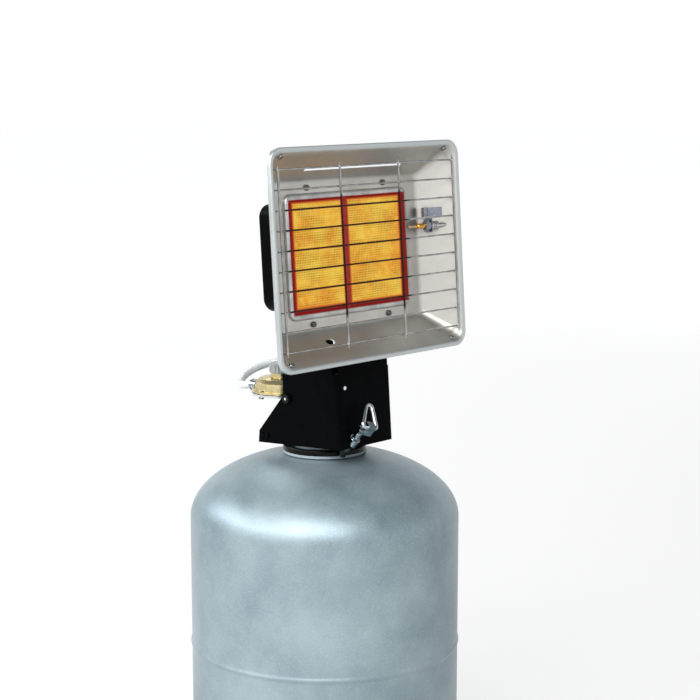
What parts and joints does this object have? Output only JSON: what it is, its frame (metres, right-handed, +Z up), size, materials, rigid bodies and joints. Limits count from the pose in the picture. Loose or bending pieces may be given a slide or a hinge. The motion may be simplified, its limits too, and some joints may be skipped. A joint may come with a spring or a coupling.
{
  "type": "radiant gas heater on a gas bottle",
  "caption": "Radiant gas heater with a square reflector, wire guard and glowing burner, clamped by a bent bracket to the neck of a steel gas bottle.",
  "frame": {"origin": "centre of the bottle's foot, on the surface it stands on", "axes": "+Z up along the bottle, -Y the way the heater faces, +X to the right when the heater is seen from the front"},
  "size_m": [0.3023, 0.317, 0.7949],
  "materials": {
    "bottle_paint": "pale grey-blue paint, satin",
    "black_enamel": "black enamel, glossy",
    "brass": "machined brass",
    "steel": "turned steel",
    "zinc_plate": "bright zinc plate",
    "bright_wire": "bright drawn wire",
    "polished_steel": "polished stainless sheet",
    "aluminium": "cast aluminium",
    "black_plastic": "black moulded plastic",
    "grey_plastic": "grey ribbed plastic",
    "red_plastic": "red moulded plastic",
    "black_rubber": "black rubber",
    "hose_rubber": "pale grey hose, glossy",
    "friction_fibre": "pressed fibre",
    "ceramic_felt": "ceramic felt",
    "copper": "bare copper tube",
    "glowing_ceramic": "perforated ceramic, glowing",
    "red_ceramic": "ceramic felt, dull red glow"
  },
  "bodies": {
    "stand": {"bottle_shell": "bottle_paint", "foot_ring": "bottle_paint", "neck_bung": "bottle_paint", "neck_collar": "bottle_paint", "seat_ring": "black_enamel", "valve_body": "brass", "valve_gland": "brass", "relief_valve": "brass", "outlet_seal": "black_rubber", "inlet_stem": "brass", "regulator_body": "brass", "regulator_cover": "aluminium", "regulator_diaphragm": "black_rubber", "regulator_screws": "steel", "outlet_nipple": "brass", "hose_ferrule": "zinc_plate", "hose": "hose_rubber", "bracket": "black_enamel", "collar_strap": "black_enamel", "strap_rivets": "black_enamel", "tilt_stop": "black_enamel", "stop_screw": "zinc_plate", "pivot_bolts": "black_enamel", "pivot_washers": "friction_fibre", "pivot_nuts": "zinc_plate", "clamp_bush": "zinc_plate"},
    "head": {"hose_nut": "brass", "head_ferrule": "zinc_plate", "yoke": "black_enamel", "yoke_screws": "zinc_plate", "reflector": "polished_steel", "guard_cross_wires": "bright_wire", "guard_upright_wires": "bright_wire", "guard_screws": "zinc_plate", "burner_frame": "polished_steel", "burner_screws": "steel", "plaque_left": "glowing_ceramic", "plaque_right": "glowing_ceramic", "plaque_divider": "red_ceramic", "plaque_gasket": "ceramic_felt", "burner_housing": "black_enamel", "mixing_tube": "steel", "injector": "brass", "gas_valve": "brass", "valve_nut": "brass", "thermocouple": "brass", "thermocouple_nut": "zinc_plate", "thermocouple_bracket": "polished_steel", "capillary": "copper"},
    "handwheel": {"valve_handwheel": "black_plastic", "handwheel_nut": "steel", "valve_spindle": "steel"},
    "union": {"union_nut": "brass"},
    "knob": {"regulator_knob": "grey_plastic"},
    "clamp_pad": {"clamp_pad": "black_plastic"},
    "clamp_screw": {"clamp_screw": "zinc_plate"},
    "clamp_loop": {"clamp_handle": "bright_wire"},
    "button": {"valve_button": "red_plastic"}
  },
  "joints": [
    {"name": "head_tilt", "type": "hinge", "parent": "stand", "child": "head", "pos_m": [0, 0.01523, 0.51508], "axis": [-1, 0, 0], "range_deg": [0, 20], "deforming": ["hose"]},
    {"name": "valve_turn", "type": "hinge", "parent": "stand", "child": "handwheel", "pos_m": [0, 0, 0.55], "axis": [0, 0, 1], "range_deg": [-1080, 0]},
    {"name": "union_turn", "type": "hinge", "parent": "stand", "child": "union", "pos_m": [0, 0.03, 0.516], "axis": [0, 1, 0], "continuous": true},
    {"name": "knob_turn", "type": "hinge", "parent": "stand", "child": "knob", "pos_m": [0, 0.069, 0.535], "axis": [0, 0, 1], "range_deg": [-135, 135]},
    {"name": "clamp_travel", "type": "slide", "parent": "stand", "child": "clamp_pad", "axis": [0, -0.682, 0.7314], "range_m": [0, 0.005]},
    {"name": "clamp_turn", "type": "hinge", "parent": "clamp_pad", "child": "clamp_screw", "pos_m": [-0.022, -0.0468, 0.4574], "axis": [0, -0.682, 0.7314], "range_deg": [0, 1440]},
    {"name": "loop_fold", "type": "hinge", "parent": "clamp_screw", "child": "clamp_loop", "pos_m": [-0.022, -0.0809, 0.49397], "axis": [0.9063, -0.3091, -0.2882], "range_deg": [0, 140]},
    {"name": "button_press", "type": "slide", "parent": "head", "child": "button", "axis": [-1, 0, 0], "range_m": [0, 0.005], "stiffness_N_per_m": 800}
  ],
  "couplings": [
    {"joint": "clamp_travel", "follows": "clamp_turn", "m_per_rad": 0.00019894}
  ]
}
